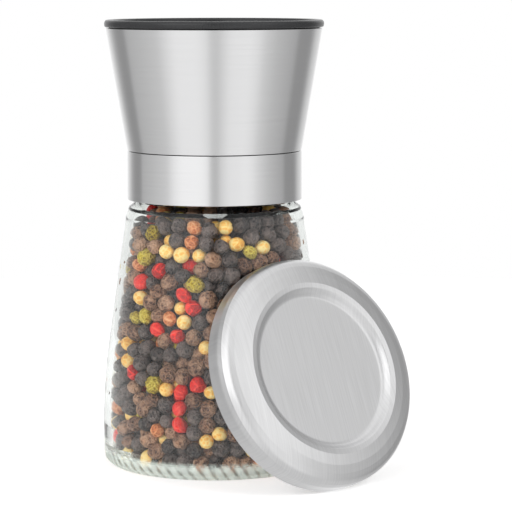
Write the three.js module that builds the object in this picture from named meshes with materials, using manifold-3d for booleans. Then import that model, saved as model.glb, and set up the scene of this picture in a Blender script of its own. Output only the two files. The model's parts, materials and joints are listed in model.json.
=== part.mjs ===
// A pepper mill: a glass jar of peppercorns, a screw-on head that turns a ceramic burr ring round a
// ceramic cone, and a loose steel lid that stands on edge and leans on the jar.
// Millimetres, +Z up. The origin is the middle of the jar's base, on the surface that the jar stands on.

import * as THREE from "three";
import { mergeVertices } from "three/addons/utils/BufferGeometryUtils.js";
import Module from "manifold-3d";

const wasm = await Module();
wasm.setup();

// Driving dimensions.

const GAP = 0.3; // running clearance between neighbours
const ROUND = 32; // facets round a large turned piece
const SMALL_ROUND = 16; // facets round a small turned piece
const CURVE = 3; // straight steps along each curved stretch of a profile

const FOOT_RADIUS = 28; // jar
const JAR_RADIUS = 32.25;
const JAR_WIDEST_Z = 11.7;
const JAR_FLOOR_Z = 2.4;
const HEEL_Z = 4.2;
const CONE_FOOT = [29.9, 39.5];
const CONE_TOP = [25.95, 66.7];
const GLASS_WALL = 1.8;
const NECK_RADIUS = 21;
const NECK_BASE_Z = 75.6;
const NECK_TOP_Z = 85.7;
const FILL_TOP_Z = 75.8;

const THREAD_LEAD = 4.4; // jar thread
const THREAD_START_Z = 78.3;
const THREAD_TURNS = 1.25;
const THREAD_RADIUS = 21.6;
const THREAD_SECTION = 1;

const SLEEVE_RADIUS = 24.86; // steel ring below the head
const SLEEVE_FOOT_Z = 75.9;
const SEAM_Z = 89.8; // where the turning head meets the sleeve
const SEAM_GAP = 0.2;
const STEEL = 0.55; // sheet steel

const COLLAR_RADIUS = SLEEVE_RADIUS - STEEL - GAP;
const COLLAR_BORE = 23;
const COLLAR_TOP_Z = 88.9;
const COLLAR_FOOT_Z = 76.3;
const COLLAR_STEP_RADIUS = 22.2;
const NECK_STOP_Z = 87.4; // underside of the web that closes on the gasket
const THROAT_BORE = 17.2;
const THROAT_RADIUS = 18.9;
const THROAT_FOOT_Z = 76.3;
const BEARING_RADIUS = 20;
const BEARING_TOP_Z = 94.2;
const SNAP_HEIGHT = 0.8;
const SNAP_Z = 92.9;
const HUB_RADIUS = 4.4;
const HUB_FOOT_Z = 80.7;
const HUB_TOP_Z = 87.7;
const ARM_COUNT = 3;
const ARM_WIDTH = 3;
const ARM_HEIGHT = 4;
const ARM_Z = 83.7;

const SPINDLE_RADIUS = 2; // spindle and what rides on it
const SPINDLE_TOP_Z = 117.7;
const SPINDLE_HEAD_Z = 78.1;
const SPINDLE_HEAD_RADIUS = 3.7;
const SLIDE_BORE = SPINDLE_RADIUS + GAP;
const NUT_HEIGHT = 2;
const NUT_RADIUS = 3.9;
const SPRING_RADIUS = 3.3;
const SPRING_WIRE = 0.35;
const SPRING_TURNS = 3.5;

const SHELL_FOOT_RADIUS = 24.8; // head
const SHELL_TOP_RADIUS = 30.7;
const SHELL_TOP_Z = 124.3;
const RIM_RADIUS = 31.1;
const RIM_BORE = 28.9;
const RIM_TOP_Z = 126.7;
const FUNNEL_FOOT = [17.2, 111.1]; // the slope inside the head, as [radius, height]
const FUNNEL_TOP = [28.3, 121.2];
const FUNNEL_WALL = 2.1;
const OUTLET_RADIUS = 14.3;
const SKIRT_BORE = 21.2;
const SKIRT_RADIUS = 22.9;
const SKIRT_FOOT_Z = 90.3;
const FLANGE_RADIUS = 24;
const FLANGE_Z = 91;
const FLANGE_TOP_Z = 92.9;
const BOSS_RADIUS = 20.7; // wall that the screws bite into
const BOSS_FOOT_Z = 98.5;
const BOSS_TOP_Z = 102.3;
const HOUSING_RADIUS = 18.4;
const STATOR_RADIUS = 16.5;
const STATOR_FOOT_Z = 97;
const STATOR_TOP_Z = 108.8;
const STATOR_BORE = [11.8, 13.25]; // at its foot and at its top
const RETAINER_BORE = 11.9;
const RETAINER_RADIUS = 20.4;
const RETAINER_FOOT_Z = 95.2;
const SCREW_CIRCLE = 18.8;
const SCREW_COUNT = 3;
const SCREW_HEAD_RADIUS = 1.9;
const SCREW_RADIUS = 1;
const SCREW_LENGTH = 6.6;

const ROTOR_FOOT_Z = 97.3; // burr cone
const ROTOR_TOP_Z = 108.5;
const ROTOR_FOOT_RADIUS = 6.4;
const ROTOR_TOP_RADIUS = 12.75;
const ROTOR_BORE = 5;
const BURR_TEETH = 12;
const BURR_TOOTH_DEPTH = 1;
const CARRIER_RADIUS = 6.2;
const CARRIER_FOOT_Z = 96.2;
const CARRIER_TOP_Z = 109.9;
const WASHER_HEIGHT = 0.5;

const KNOB_RADIUS = 7.8; // adjuster
const KNOB_FOOT_Z = 111;
const KNOB_TOP_Z = 120.3;
const KNOB_FLUTES = 12;
const KNOB_FLUTE_DEPTH = 0.5;
const KNOB_BORE = 3.9;
const KNOB_CAP_RADIUS = 5.6;
const BRASS_NUT_RADIUS = 3.6;
const BRASS_NUT_TOP_Z = 117.3;

const LID_RADIUS = 32.25; // lid
const LID_HEIGHT = 9.4;
const LID_WALL = 3.84; // straight part of its side
const LID_CREST_RADIUS = 24.2;
const RECESS_RADIUS = 23.8;
const RECESS_FLOOR_RADIUS = 20.2;
const RECESS_DEPTH = 2.05;
const LID_CURVE = 5;
const PLUG_RADIUS = 28.4; // plastic liner
const PLUG_WALL = 1.4;
const LINER_FLANGE_RADIUS = 31.4;
const LINER_DISC_Z = 4.6;
const LID_LEAN = 23.5; // degrees that the open side tips back towards the jar
const LID_TURN = 38.9; // degrees round the jar from the front towards the right

// Geometry helpers.

// Turns a closed outline of [radius, height] points about Z. An outline may start and end on the axis.
function turned(outline, facets = ROUND) {
  const points = outline.map(([r, z]) => new THREE.Vector2(r, z));
  if (THREE.ShapeUtils.area(points) < 0) points.reverse();
  if (points[0].x > 0 || points.at(-1).x > 0) points.push(points[0].clone());
  return new THREE.LatheGeometry(points, facets).rotateX(Math.PI / 2);
}

// A ring or washer of rectangular section.
function ring(inner, outer, low, high, facets = ROUND) {
  return turned([[inner, low], [outer, low], [outer, high], [inner, high]], facets);
}

function disc(radius, low, high, facets = SMALL_ROUND) {
  return turned([[0, low], [radius, low], [radius, high], [0, high]], facets);
}

// The points of a profile drawn with path commands, as [radius, height] pairs.
function drawn(draw, steps = CURVE) {
  const path = new THREE.Path();
  draw(path);
  return path.getPoints(steps).map((p) => [p.x, p.y]);
}

// The same outline moved sideways by a wall's thickness, to the right of its direction of travel.
function offset(outline, distance) {
  return outline.map(([x, y], i) => {
    const [ax, ay] = outline[Math.max(i - 1, 0)];
    const [bx, by] = outline[Math.min(i + 1, outline.length - 1)];
    const length = Math.hypot(bx - ax, by - ay);
    return [x + ((by - ay) / length) * distance, y - ((bx - ax) / length) * distance];
  });
}

// Presses flutes into the outer wall of a turned piece, beyond the radius where they start.
function fluted(geometry, count, depth, from, twist = 0) {
  const position = geometry.getAttribute("position");
  for (let i = 0; i < position.count; i++) {
    const [x, y, z] = [position.getX(i), position.getY(i), position.getZ(i)];
    const radius = Math.hypot(x, y);
    if (radius < from) continue;
    const wave = (1 - Math.cos(count * Math.atan2(y, x) + twist * z)) / 2;
    const scale = 1 - (depth * wave) / radius;
    position.setXY(i, x * scale, y * scale);
  }
  return geometry;
}

class Helix extends THREE.Curve {
  constructor(radius, low, lead, from, to) {
    super();
    Object.assign(this, { radius, low, lead, from, to });
  }
  getPoint(t) {
    const turns = this.from + t * (this.to - this.from);
    const angle = turns * 2 * Math.PI;
    const height = this.low + turns * this.lead;
    return new THREE.Vector3(this.radius * Math.cos(angle), this.radius * Math.sin(angle), height);
  }
}

// A round wire swept along a helix.
function coil(helix, wireRadius, sides, stepsPerTurn) {
  const section = new THREE.Shape().absarc(0, 0, wireRadius, 0, 2 * Math.PI);
  return new THREE.ExtrudeGeometry(section, {
    steps: Math.round(stepsPerTurn * (helix.to - helix.from)),
    curveSegments: sides / 2, // a full circle gets twice this many
    bevelEnabled: false,
    extrudePath: helix,
  });
}

// A straight-sided prism of a many-sided outline with a round hole.
function prism(sides, radius, bore, low, height) {
  const outline = new THREE.Shape();
  for (let i = 0; i < sides; i++) {
    const angle = (i / sides) * 2 * Math.PI;
    const corner = [radius * Math.cos(angle), radius * Math.sin(angle)];
    if (i === 0) outline.moveTo(...corner);
    else outline.lineTo(...corner);
  }
  outline.closePath();
  if (bore > 0) outline.holes.push(new THREE.Path().absarc(0, 0, bore, 0, 2 * Math.PI, true));
  const options = { depth: height, bevelEnabled: false, curveSegments: SMALL_ROUND / 2 };
  return new THREE.ExtrudeGeometry(outline, options).translate(0, 0, low);
}

function solid(geometry) {
  const bare = geometry.clone();
  bare.deleteAttribute("normal");
  bare.deleteAttribute("uv");
  const merged = mergeVertices(bare, 1e-3);
  const triangles = [];
  for (let i = 0; i < merged.index.count; i += 3) {
    const [a, b, c] = merged.index.array.slice(i, i + 3);
    if (a !== b && b !== c && c !== a) triangles.push(a, b, c);
  }
  const vertProperties = merged.getAttribute("position").array;
  return new wasm.Manifold(
    new wasm.Mesh({ numProp: 3, vertProperties, triVerts: Uint32Array.from(triangles) }),
  );
}

function joined(...geometries) {
  return geometryOf(geometries.map(solid).reduce((sum, next) => sum.add(next)));
}

function cut(geometry, ...tools) {
  return geometryOf(tools.map(solid).reduce((rest, tool) => rest.subtract(tool), solid(geometry)));
}

function geometryOf(manifold) {
  const { vertProperties, triVerts } = manifold.getMesh();
  return new THREE.BufferGeometry()
    .setAttribute("position", new THREE.BufferAttribute(vertProperties, 3))
    .setIndex(new THREE.BufferAttribute(triVerts, 1));
}

// Copies of a piece at equal angles about Z.
function around(geometry, count, firstAngle = 0) {
  return Array.from({ length: count }, (_, i) =>
    geometry.clone().rotateZ(firstAngle + (i * 2 * Math.PI) / count),
  );
}

// Finishes.

function finish(color, roughness, metalness, extra = {}) {
  return () => new THREE.MeshStandardMaterial({ color, roughness, metalness, ...extra });
}

const steel = finish(0xc4c5c7, 0.33, 1);
const brightSteel = finish(0xb9babc, 0.25, 1);
const springSteel = finish(0xa8a9ab, 0.35, 1);
const brass = finish(0xb8923c, 0.35, 1);
const blackPlastic = finish(0x1b1c1e, 0.42, 0);
const whiteCeramic = finish(0xe9e6df, 0.55, 0);
const clearGlass = finish(0xdfe9e2, 0.03, 0, { transparent: true, opacity: 0.35 });
const siliconeRubber = finish(0xd9d9d4, 0.7, 0);
const pepper = finish(0x3a2f29, 0.75, 0);

const mill = new THREE.Group();

function add(name, geometry, material, parent = mill) {
  const mesh = new THREE.Mesh(geometry, material());
  mesh.name = name;
  parent.add(mesh);
}

// Jar.

// The outer wall, from the middle of the base up to the lip.
function drawJarOutside(path) {
  const [footR, footZ] = CONE_FOOT;
  const [topR, topZ] = CONE_TOP;
  path.moveTo(0, 0);
  path.lineTo(FOOT_RADIUS, 0);
  path.bezierCurveTo(FOOT_RADIUS + 2.8, 0, JAR_RADIUS - 0.3, 1, JAR_RADIUS - 0.15, HEEL_Z);
  path.lineTo(JAR_RADIUS, JAR_WIDEST_Z);
  path.bezierCurveTo(JAR_RADIUS, JAR_WIDEST_Z + 9, footR + 1.4, footZ - 9.6, footR, footZ);
  path.lineTo(topR, topZ);
  const shoulder = [topR - 0.5, topZ + 4.6, topR - 0.7, topZ + 8];
  path.bezierCurveTo(...shoulder, NECK_RADIUS + 1.5, NECK_BASE_Z - 0.3);
  path.lineTo(NECK_RADIUS, NECK_BASE_Z);
  path.lineTo(NECK_RADIUS, NECK_TOP_Z - 0.5);
  path.lineTo(NECK_RADIUS - 0.5, NECK_TOP_Z);
}

// The wall of the space inside as far as the top of the cone; inset shrinks it.
function drawCavityWall(path, inset) {
  const depth = GLASS_WALL + inset;
  const floorZ = JAR_FLOOR_Z + inset;
  const widest = JAR_RADIUS - depth;
  const [coneFoot, footZ] = [CONE_FOOT[0] - depth, CONE_FOOT[1]];
  path.moveTo(0, floorZ);
  path.lineTo(FOOT_RADIUS - 1, floorZ);
  path.bezierCurveTo(widest - 1.2, floorZ, widest, floorZ + 2.4, widest, JAR_WIDEST_Z);
  path.bezierCurveTo(widest, JAR_WIDEST_Z + 9, coneFoot + 1.4, footZ - 9.6, coneFoot, footZ);
  path.lineTo(CONE_TOP[0] - depth, CONE_TOP[1]);
}

// Adds the underside of the shoulder, which closes in to the neck's bore; inset shrinks it.
function drawShoulderInside(path, inset) {
  const coneTop = CONE_TOP[0] - GLASS_WALL - inset;
  const topZ = CONE_TOP[1] - inset;
  const bore = NECK_RADIUS - GLASS_WALL - inset;
  path.bezierCurveTo(coneTop - 0.6, topZ + 3.6, coneTop - 0.9, topZ + 6, bore + 1.5, topZ + 7.3);
  path.lineTo(bore, NECK_BASE_Z - inset);
}

// The whole inner wall, from the middle of the floor up to the lip.
function drawJarInside(path) {
  const bore = NECK_RADIUS - GLASS_WALL;
  drawCavityWall(path, 0);
  drawShoulderInside(path, 0);
  path.lineTo(bore, NECK_TOP_Z - 0.4);
  path.lineTo(bore + 0.4, NECK_TOP_Z);
}

// The heap of peppercorns, which fills the jar up to its neck.
function drawFill(path) {
  const bore = NECK_RADIUS - GLASS_WALL - GAP;
  drawCavityWall(path, GAP);
  drawShoulderInside(path, GAP);
  path.lineTo(bore, FILL_TOP_Z);
  path.lineTo(0, FILL_TOP_Z);
}

function glassJar() {
  const wall = [...drawn(drawJarOutside), ...drawn(drawJarInside).reverse()];
  const thread = new Helix(THREAD_RADIUS, THREAD_START_Z, THREAD_LEAD, 0, THREAD_TURNS);
  return joined(turned(wall, ROUND), coil(thread, THREAD_SECTION, 8, 20));
}

// Flat ring between the jar's lip and the collar's web.
function jarGasket() {
  const outer = COLLAR_BORE - 0.4;
  return ring(NECK_RADIUS - GLASS_WALL, outer, NECK_TOP_Z + GAP, NECK_STOP_Z - GAP);
}

add("glass_jar", glassJar(), clearGlass);
add("peppercorns", turned(drawn(drawFill)), pepper);
add("jar_gasket", jarGasket(), siliconeRubber);

// Collar: screws on the jar's neck, carries the spindle, and is the bearing that the head turns on.

function threadedCollar() {
  const snapRadius = BEARING_RADIUS + SNAP_HEIGHT;
  const skirt = turned([
    [THROAT_BORE, THROAT_FOOT_Z],
    [THROAT_RADIUS, THROAT_FOOT_Z],
    [THROAT_RADIUS, NECK_STOP_Z],
    [COLLAR_BORE, NECK_STOP_Z],
    [COLLAR_BORE, COLLAR_FOOT_Z],
    [COLLAR_RADIUS, COLLAR_FOOT_Z],
    [COLLAR_RADIUS, COLLAR_TOP_Z],
    [COLLAR_STEP_RADIUS, COLLAR_TOP_Z],
    [COLLAR_STEP_RADIUS, SEAM_Z],
    [BEARING_RADIUS, SEAM_Z],
    [BEARING_RADIUS, SNAP_Z - 0.4],
    [snapRadius, SNAP_Z],
    [snapRadius, SNAP_Z + 0.6],
    [BEARING_RADIUS + 0.3, BEARING_TOP_Z],
    [THROAT_BORE, BEARING_TOP_Z],
  ]);
  const threadLow = THREAD_START_Z - THREAD_LEAD / 2;
  const thread = new Helix(COLLAR_BORE - 0.1, threadLow, THREAD_LEAD, 0.3, THREAD_TURNS);
  const hub = disc(HUB_RADIUS, HUB_FOOT_Z, HUB_TOP_Z);
  const armLength = THROAT_BORE + 0.6;
  const arm = new THREE.BoxGeometry(armLength, ARM_WIDTH, ARM_HEIGHT);
  arm.translate(armLength / 2, 0, ARM_Z);
  const ridge = coil(thread, 0.9, 8, 20);
  const body = joined(skirt, ridge, hub, ...around(arm, ARM_COUNT, Math.PI / 2));
  return cut(body, disc(SLIDE_BORE, HUB_FOOT_Z - 1, HUB_TOP_Z + 1));
}

// Steel ring with an inturned top edge.
function lowerSleeve() {
  const inner = SLEEVE_RADIUS - STEEL;
  const top = SEAM_Z - SEAM_GAP / 2;
  return turned([
    [inner, SLEEVE_FOOT_Z],
    [SLEEVE_RADIUS, SLEEVE_FOOT_Z],
    [SLEEVE_RADIUS, top],
    [COLLAR_STEP_RADIUS + GAP, top],
    [COLLAR_STEP_RADIUS + GAP, top - STEEL + 0.05],
    [inner, top - STEEL + 0.05],
  ]);
}

// Bolt with a hexagonal head below the hub and a plain shank up to the knob.
function spindle() {
  const headHeight = HUB_FOOT_Z - GAP - SPINDLE_HEAD_Z;
  const head = prism(6, SPINDLE_HEAD_RADIUS, 0, SPINDLE_HEAD_Z, headHeight);
  return joined(head, disc(SPINDLE_RADIUS, SPINDLE_HEAD_Z + 0.5, SPINDLE_TOP_Z));
}

const NUT_FOOT_Z = HUB_TOP_Z + GAP;

function pressureSpring() {
  const low = NUT_FOOT_Z + NUT_HEIGHT + GAP + SPRING_WIRE;
  const high = CARRIER_FOOT_Z - GAP - SPRING_WIRE;
  const pitch = (high - low) / SPRING_TURNS;
  return coil(new Helix(SPRING_RADIUS, low, pitch, 0, SPRING_TURNS), SPRING_WIRE, 6, 14);
}

add("threaded_collar", threadedCollar(), blackPlastic);
add("lower_sleeve", lowerSleeve(), steel);
add("spindle", spindle(), brightSteel);
add("spindle_nut", prism(6, NUT_RADIUS, SLIDE_BORE, NUT_FOOT_Z, NUT_HEIGHT), brightSteel);
add("pressure_spring", pressureSpring(), springSteel);

// Burr cone and its plastic core, which slide on the spindle.

function rotorBurr() {
  const cone = turned([
    [ROTOR_BORE, ROTOR_FOOT_Z],
    [ROTOR_FOOT_RADIUS, ROTOR_FOOT_Z],
    [10.6, 103.2],
    [ROTOR_TOP_RADIUS, ROTOR_TOP_Z - 1.6],
    [ROTOR_TOP_RADIUS, ROTOR_TOP_Z],
    [ROTOR_BORE, ROTOR_TOP_Z],
  ], BURR_TEETH * 3);
  return fluted(cone, BURR_TEETH, BURR_TOOTH_DEPTH, ROTOR_BORE + 1, 0.12);
}

function rotorCarrier() {
  const core = ROTOR_BORE - GAP;
  return turned([
    [SLIDE_BORE, CARRIER_FOOT_Z],
    [CARRIER_RADIUS, CARRIER_FOOT_Z],
    [CARRIER_RADIUS, ROTOR_FOOT_Z - GAP],
    [core, ROTOR_FOOT_Z - GAP],
    [core, CARRIER_TOP_Z],
    [SLIDE_BORE, CARRIER_TOP_Z],
  ], SMALL_ROUND);
}

function thrustWasher() {
  const foot = CARRIER_TOP_Z + GAP;
  return ring(SLIDE_BORE, CARRIER_RADIUS - 0.2, foot, foot + WASHER_HEIGHT, SMALL_ROUND);
}

add("rotor_burr", rotorBurr(), whiteCeramic);
add("rotor_carrier", rotorCarrier(), blackPlastic);
add("thrust_washer", thrustWasher(), brightSteel);

// Adjuster knob: a fluted cap on a brass nut that runs on the spindle's thread.

function adjusterKnob() {
  const seat = KNOB_CAP_RADIUS + GAP;
  const body = turned([
    [KNOB_BORE, KNOB_FOOT_Z],
    [KNOB_RADIUS - 0.6, KNOB_FOOT_Z],
    [KNOB_RADIUS, KNOB_FOOT_Z + 0.7],
    [KNOB_RADIUS, KNOB_TOP_Z - 1.6],
    [KNOB_RADIUS - 0.9, KNOB_TOP_Z],
    [seat, KNOB_TOP_Z],
    [seat, KNOB_TOP_Z - 1.2],
    [KNOB_BORE, KNOB_TOP_Z - 1.2],
  ], KNOB_FLUTES * 3);
  return fluted(body, KNOB_FLUTES, KNOB_FLUTE_DEPTH, KNOB_RADIUS - 1);
}

// Cap with a short peg that closes the knob's bore.
function knobCap() {
  const peg = KNOB_BORE - 0.5;
  const underside = KNOB_TOP_Z - 0.9;
  return turned([
    [0, underside - 1.2],
    [peg, underside - 1.2],
    [peg, underside],
    [KNOB_CAP_RADIUS, underside],
    [KNOB_CAP_RADIUS, KNOB_TOP_Z - 0.2],
    [KNOB_CAP_RADIUS - 0.8, KNOB_TOP_Z + 0.3],
    [0, KNOB_TOP_Z + 0.5],
  ], SMALL_ROUND);
}

function knobNut() {
  return ring(SLIDE_BORE, BRASS_NUT_RADIUS, KNOB_FOOT_Z + GAP, BRASS_NUT_TOP_Z, SMALL_ROUND);
}

add("adjuster_knob", adjusterKnob(), blackPlastic);
add("knob_nut", knobNut(), brass);
add("knob_cap", knobCap(), blackPlastic);

// Head: steel grip shell over a plastic funnel that holds the burr ring.

function upperShell() {
  const foot = SEAM_Z + SEAM_GAP / 2;
  const turnedIn = SHELL_FOOT_RADIUS - 1.2;
  return turned([
    [turnedIn, foot],
    [SHELL_FOOT_RADIUS, foot],
    [SHELL_TOP_RADIUS, SHELL_TOP_Z],
    [SHELL_TOP_RADIUS - STEEL, SHELL_TOP_Z],
    [SHELL_FOOT_RADIUS - STEEL, foot + 0.5],
    [turnedIn, foot + 0.5],
  ]);
}

// A hole for a retainer screw, countersunk at its foot.
function screwHole() {
  const head = SCREW_HEAD_RADIUS + 0.5;
  const shank = SCREW_RADIUS + GAP;
  const low = RETAINER_FOOT_Z - GAP;
  const neck = STATOR_FOOT_Z - 0.6;
  return turned([[0, low], [head, low], [shank, neck], [shank, BOSS_TOP_Z], [0, BOSS_TOP_Z]], 12)
    .translate(SCREW_CIRCLE, 0, 0);
}

const FIRST_SCREW = Math.PI / 6;

// Skirt that snaps on the bearing, housing for the burr ring, funnel and rim, all one moulding.
function headInsert() {
  const housingBore = STATOR_RADIUS + GAP;
  const snapBore = BEARING_RADIUS + 0.35;
  const [footR, footZ] = FUNNEL_FOOT;
  const [topR, topZ] = FUNNEL_TOP;
  const rimFoot = SHELL_TOP_Z + GAP;
  const body = turned([
    [snapBore, SKIRT_FOOT_Z],
    [SKIRT_RADIUS, SKIRT_FOOT_Z],
    [SKIRT_RADIUS, FLANGE_Z],
    [FLANGE_RADIUS, FLANGE_Z],
    [FLANGE_RADIUS + 0.3, FLANGE_TOP_Z],
    [SKIRT_RADIUS, FLANGE_TOP_Z],
    [SKIRT_RADIUS, BOSS_FOOT_Z],
    [BOSS_RADIUS, BOSS_FOOT_Z],
    [BOSS_RADIUS, BOSS_TOP_Z],
    [HOUSING_RADIUS, BOSS_TOP_Z + 1.9],
    [HOUSING_RADIUS, STATOR_TOP_Z + 0.5],
    [topR - 0.7, topZ - FUNNEL_WALL - 1.2],
    [topR + 0.4, topZ - FUNNEL_WALL - 1.2],
    [SHELL_TOP_RADIUS - 0.9, rimFoot],
    [RIM_RADIUS - 0.3, rimFoot],
    [RIM_RADIUS, rimFoot + 0.4],
    [RIM_RADIUS, RIM_TOP_Z - 0.6],
    [RIM_RADIUS - 0.5, RIM_TOP_Z],
    [RIM_BORE + 0.5, RIM_TOP_Z],
    [RIM_BORE, RIM_TOP_Z - 0.6],
    [topR, topZ],
    [footR, footZ],
    [OUTLET_RADIUS, footZ - 0.4],
    [OUTLET_RADIUS, STATOR_TOP_Z + GAP],
    [housingBore, STATOR_TOP_Z + GAP],
    [housingBore, STATOR_FOOT_Z],
    [SKIRT_BORE, STATOR_FOOT_Z],
    [SKIRT_BORE, SKIRT_FOOT_Z + 1.8],
    [snapBore, SKIRT_FOOT_Z + 1.8],
  ]);
  return cut(body, ...around(screwHole(), SCREW_COUNT, FIRST_SCREW));
}

function statorBurr() {
  const [footBore, topBore] = STATOR_BORE;
  return turned([
    [footBore, STATOR_FOOT_Z],
    [STATOR_RADIUS, STATOR_FOOT_Z],
    [STATOR_RADIUS, STATOR_TOP_Z],
    [topBore, STATOR_TOP_Z],
    [topBore, STATOR_TOP_Z - 2.5],
  ], 36);
}

function statorRetainer() {
  const top = STATOR_FOOT_Z - GAP;
  const plate = ring(RETAINER_BORE, RETAINER_RADIUS, RETAINER_FOOT_Z, top, 36);
  return cut(plate, ...around(screwHole(), SCREW_COUNT, FIRST_SCREW));
}

// A countersunk screw with a blunt tip.
function retainerScrew() {
  const low = RETAINER_FOOT_Z + 0.1;
  const tip = low + SCREW_LENGTH;
  return turned([
    [0, low],
    [SCREW_HEAD_RADIUS, low],
    [SCREW_RADIUS, low + 1.1],
    [SCREW_RADIUS, tip - 0.6],
    [0, tip],
  ], 12).translate(SCREW_CIRCLE, 0, 0);
}

add("upper_shell", upperShell(), steel);
add("head_insert", headInsert(), blackPlastic);
add("stator_burr", statorBurr(), whiteCeramic);
add("stator_retainer", statorRetainer(), blackPlastic);
around(retainerScrew(), SCREW_COUNT, FIRST_SCREW).forEach((screw, i) => {
  add(`retainer_screw_${i + 1}`, screw, brightSteel);
});

// Lid, drawn with its open edge on the plane Z = 0 and its domed side up.

function drawLidTop(path) {
  const floorZ = LID_HEIGHT - RECESS_DEPTH;
  const bend = [LID_RADIUS, LID_WALL + 3.66, LID_CREST_RADIUS + 5.3, LID_HEIGHT - 0.9];
  const middle = (RECESS_RADIUS + RECESS_FLOOR_RADIUS) / 2;
  path.moveTo(LID_RADIUS, 0);
  path.lineTo(LID_RADIUS, LID_WALL);
  path.bezierCurveTo(...bend, LID_CREST_RADIUS, LID_HEIGHT);
  path.lineTo(RECESS_RADIUS, LID_HEIGHT);
  path.bezierCurveTo(middle, LID_HEIGHT, middle, floorZ, RECESS_FLOOR_RADIUS, floorZ);
  path.lineTo(0, floorZ);
}

// The first point of a curve repeats the last point of the line before it, and this drops the repeats.
function withoutRepeats(outline) {
  return outline.filter(([r, z], i) => {
    const [lastR, lastZ] = outline[i - 1] ?? [Infinity, Infinity];
    return Math.hypot(r - lastR, z - lastZ) > 0.01;
  });
}

function lidShell() {
  const skin = withoutRepeats(drawn(drawLidTop, LID_CURVE));
  return turned([...skin, ...offset(skin, -STEEL).reverse()]);
}

// Plastic plug that grips the head's rim, with a flange that rests on it.
function lidLiner() {
  const inner = PLUG_RADIUS - PLUG_WALL;
  const discTop = LINER_DISC_Z + 1.2;
  return turned([
    [0, LINER_DISC_Z],
    [inner - 1, LINER_DISC_Z],
    [inner, LINER_DISC_Z - 0.8],
    [inner, 0.4],
    [PLUG_RADIUS, 0.4],
    [PLUG_RADIUS, 2],
    [LINER_FLANGE_RADIUS, 2],
    [LINER_FLANGE_RADIUS, 3.2],
    [PLUG_RADIUS + 0.2, 3.9],
    [PLUG_RADIUS - 0.8, discTop],
    [0, discTop],
  ]);
}

// The open edge stands on the surface at its lowest point, and its highest point touches the jar.
function leaningLid() {
  const lean = THREE.MathUtils.degToRad(LID_LEAN);
  const contactZ = 2 * LID_RADIUS * Math.cos(lean);
  const [footR, footZ] = CONE_FOOT;
  const [topR, topZ] = CONE_TOP;
  const jarRadius = topR + ((footR - topR) * (topZ - contactZ)) / (topZ - footZ);
  const reach = jarRadius + GAP + LID_RADIUS * Math.sin(lean);
  const tipped = new THREE.Group();
  tipped.rotation.x = Math.PI / 2 - lean;
  tipped.position.set(0, -reach, LID_RADIUS * Math.cos(lean));
  const swung = new THREE.Group();
  swung.rotation.z = THREE.MathUtils.degToRad(LID_TURN);
  swung.add(tipped);
  mill.add(swung);
  return tipped;
}

const lid = leaningLid();
add("lid_shell", lidShell(), steel, lid);
add("lid_liner", lidLiner(), blackPlastic, lid);

export default mill;
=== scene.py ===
import json
import math

import bmesh
import bpy
import numpy as np
from mathutils import Matrix, Vector


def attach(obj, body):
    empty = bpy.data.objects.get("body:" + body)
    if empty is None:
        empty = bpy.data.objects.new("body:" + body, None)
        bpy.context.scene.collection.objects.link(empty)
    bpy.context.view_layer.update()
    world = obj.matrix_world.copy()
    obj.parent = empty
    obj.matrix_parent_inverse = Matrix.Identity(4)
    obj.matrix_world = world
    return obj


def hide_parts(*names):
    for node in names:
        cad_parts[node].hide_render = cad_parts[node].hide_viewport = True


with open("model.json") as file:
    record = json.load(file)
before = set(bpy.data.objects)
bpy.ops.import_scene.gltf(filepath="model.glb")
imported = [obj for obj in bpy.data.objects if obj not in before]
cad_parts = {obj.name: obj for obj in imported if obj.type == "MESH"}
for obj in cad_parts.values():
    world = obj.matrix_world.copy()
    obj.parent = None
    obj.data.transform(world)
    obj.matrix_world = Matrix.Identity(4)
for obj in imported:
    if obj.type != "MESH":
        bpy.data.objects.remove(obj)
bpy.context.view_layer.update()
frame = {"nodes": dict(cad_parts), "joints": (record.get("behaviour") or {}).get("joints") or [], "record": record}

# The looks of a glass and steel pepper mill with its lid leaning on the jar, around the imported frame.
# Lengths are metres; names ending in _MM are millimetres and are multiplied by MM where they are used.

MM = 0.001
MICRON = 1e-6

# Camera: in front of the mill, a little above its rim, with a long lens.
CAMERA_PLACE_MM = (11.86, -659.1, 138.2)
CAMERA_PITCH_DEG = 6.83
CAMERA_ROLL_DEG = 0.09
CAMERA_LENS = 162.9
CAMERA_SENSOR = 36

FLOOR_RADIUS = 0.42
FLOOR_SIDES = 96
FLOOR_TONE = 0.9
FLOOR_GLOW = 0.5

# Outlines and turned pieces
TINY = 2 * MICRON  # a length that counts as nothing
SECTION_OFFSET_DEG = 0.013  # turns the cutting plane a little, so that it passes between the vertices
BEND_DEG = 0.4  # a smaller turn leaves a stretch straight
CORNER_DEG = 32  # a sharper turn in an outline is a corner, and a softer one is part of a curve
STRAIGHT_RATIO = 1.6  # a chord this many times longer than the next one is a straight stretch
STRAIGHT_COSINE = 0.99996  # a chord is straight when both its ends point along it this closely
CURVE_STEPS = 5
FILLET_STEPS = 3
FILLET_SHARE = 0.4  # the most of a side that a rounded corner takes
FILLET_MM = 0.18
FUNNEL_FILLET_MM = 0.35
LID_FILLET_MM = 0.2
FINE_ROUND = 256
PLAIN_ROUND = 192
NORMAL_WEIGHT = 80  # how far large faces rule the shading at their edges

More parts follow.
